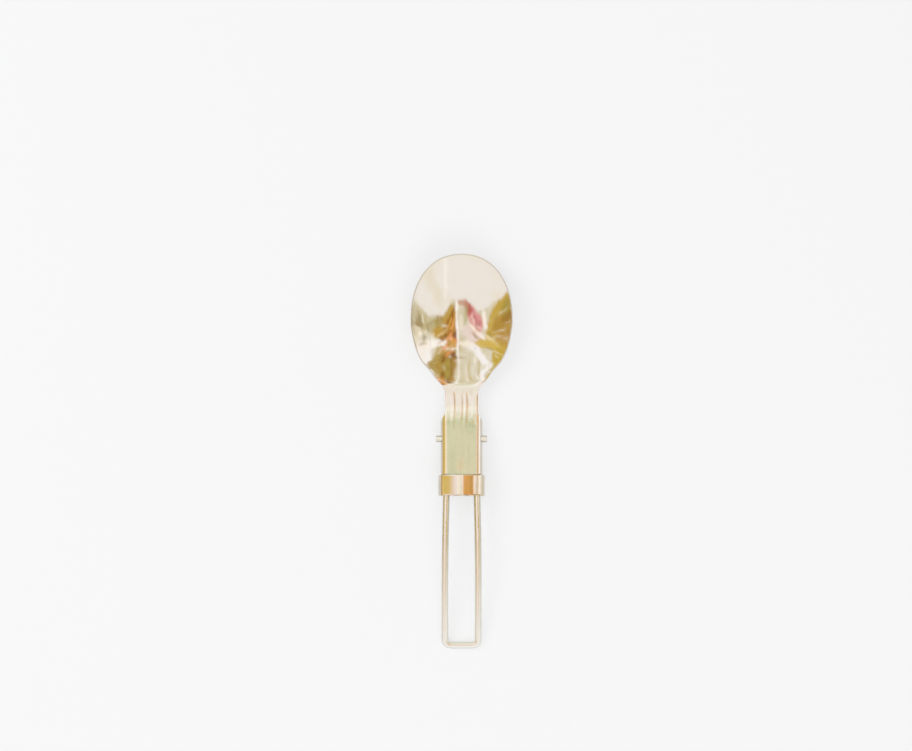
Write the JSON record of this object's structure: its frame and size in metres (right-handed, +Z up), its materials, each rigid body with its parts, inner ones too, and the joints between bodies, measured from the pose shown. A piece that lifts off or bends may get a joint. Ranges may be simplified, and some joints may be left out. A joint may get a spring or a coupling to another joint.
{
  "type": "folding spoon",
  "caption": "Stainless table spoon whose bent wire handle folds under the bowl and is locked open by a sliding collar.",
  "frame": {"origin": "bottom centre of the opened spoon's box, on the surface that it lies on face up", "axes": "+Z up out of the bowl's open face, +Y along the spoon from the end of the handle to the tip of the bowl, X along the hinge pins"},
  "size_m": [0.042, 0.1632, 0.0139],
  "materials": {
    "head_steel": "mirror-polished stainless steel sheet with a warm tone, satin on the tang",
    "wire_steel": "bright drawn stainless steel wire",
    "collar_steel": "mirror-polished stainless steel band"
  },
  "bodies": {
    "head": {"spoon_head": "head_steel"},
    "handle": {"wire_handle": "wire_steel"},
    "collar": {"slide_collar": "collar_steel"}
  },
  "joints": [
    {"name": "fold_hinge", "type": "hinge", "parent": "head", "child": "handle", "pos_m": [0, 0.00541, 0.00493], "axis": [1, 0, 0], "range_deg": [0, 175]},
    {"name": "collar_travel", "type": "hinge", "parent": "handle", "child": "collar", "pos_m": [0, -0.03089, -0.16655], "axis": [1, 0, 0], "range_deg": [-1.5, 19.9]}
  ]
}
